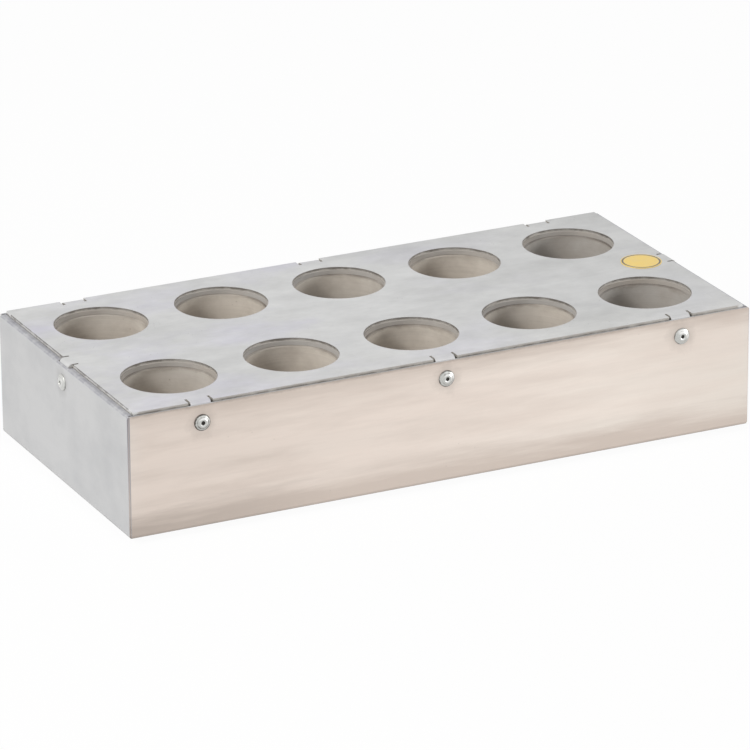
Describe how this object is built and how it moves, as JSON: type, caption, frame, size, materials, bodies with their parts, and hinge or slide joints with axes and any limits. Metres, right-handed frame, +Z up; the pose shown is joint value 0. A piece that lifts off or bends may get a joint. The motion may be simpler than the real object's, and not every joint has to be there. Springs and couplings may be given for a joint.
{
  "type": "dry block heater",
  "caption": "Low rectangular stainless dry block heater with round wells in two rows, riveted top plate, and a rear inlet, switch and temperature knob.",
  "frame": {"origin": "on the bench, under the middle of the overall box", "axes": "+X along the length to the right, front at -Y with the controls at +Y, +Z up"},
  "size_m": [0.3258, 0.1692, 0.0645],
  "materials": {
    "casing_steel": "brushed stainless sheet with horizontal grain",
    "plate_steel": "smooth rolled stainless sheet",
    "rivet_aluminium": "bright domed rivet",
    "rivet_stem": "dull broken steel stem",
    "sticker_yellow": "plain yellow film",
    "block_aluminium": "milled aluminium, dull inside the wells",
    "gasket_silicone": "pale silicone sheet",
    "insulation": "pressed fibre board",
    "heater_sheath": "drawn steel sheath",
    "cutout_body": "black moulding",
    "zinc_steel": "zinc-plated fasteners",
    "foot_rubber": "black rubber",
    "black_plastic": "fine-grained black moulding",
    "rocker_plastic": "glossy black moulding",
    "pointer_white": "white line",
    "contact_brass": "plated brass",
    "shaft_steel": "turned steel",
    "board_green": "green coated laminate",
    "relay_black": "black moulded case",
    "transformer_iron": "varnished core and coil",
    "strip_green": "green terminal strip",
    "fuse_glass": "glass tube",
    "lead_red": "heat-proof red sleeve",
    "lead_white": "white sleeve",
    "lead_brown": "brown sleeve",
    "lead_blue": "blue sleeve",
    "lead_green": "green sleeve"
  },
  "bodies": {
    "casing": {"block_pillars": "zinc_steel", "board_front": "insulation", "board_left": "insulation", "board_nuts": "zinc_steel", "board_rear": "insulation", "board_right": "insulation", "board_screws": "zinc_steel", "board_spacers": "zinc_steel", "capacitor": "relay_black", "casing_tray": "casing_steel", "control_board": "board_green", "control_leads": "lead_white", "control_pot": "shaft_steel", "cutout_leads": "lead_red", "cutout_screws": "zinc_steel", "earth_eye": "contact_brass", "earth_lead": "lead_green", "earth_nut": "contact_brass", "earth_stud": "contact_brass", "floor_board": "insulation", "foot_front_left": "foot_rubber", "foot_front_right": "foot_rubber", "foot_nuts": "zinc_steel", "foot_rear_left": "foot_rubber", "foot_rear_right": "foot_rubber", "foot_screws": "zinc_steel", "fuse": "fuse_glass", "fuse_clips": "contact_brass", "heater_front": "heater_sheath", "heater_leads": "lead_red", "heater_rear": "heater_sheath", "heating_block": "block_aluminium", "inlet_housing": "black_plastic", "inlet_nuts": "zinc_steel", "inlet_pins": "contact_brass", "inlet_screws": "zinc_steel", "live_lead": "lead_brown", "mains_terminals": "strip_green", "neutral_lead": "lead_blue", "output_terminals": "strip_green", "pillar_screws": "zinc_steel", "pot_nut": "zinc_steel", "pot_washer": "zinc_steel", "power_relay": "relay_black", "rivet_mandrels": "rivet_stem", "rivet_sleeves": "rivet_aluminium", "round_sticker": "sticker_yellow", "sensor_lead": "lead_white", "switch_housing": "black_plastic", "switch_terminals": "contact_brass", "switched_lead": "lead_brown", "temperature_sensor": "heater_sheath", "thermal_cutout": "cutout_body", "top_gasket": "gasket_silicone", "top_plate": "plate_steel", "transformer": "transformer_iron"},
    "rocker": {"switch_rocker": "rocker_plastic"},
    "knob": {"control_knob": "black_plastic", "knob_shaft": "shaft_steel", "knob_pointer": "pointer_white"}
  },
  "joints": [
    {"name": "power_rocker", "type": "hinge", "parent": "casing", "child": "rocker", "pos_m": [0.06225, 0.06795, 0.0164], "axis": [-1, 0, 0], "range_deg": [0, 20]},
    {"name": "temperature_knob", "type": "hinge", "parent": "casing", "child": "knob", "pos_m": [0, 0.06945, 0.0164], "axis": [0, -1, 0], "range_deg": [-150, 150]}
  ]
}
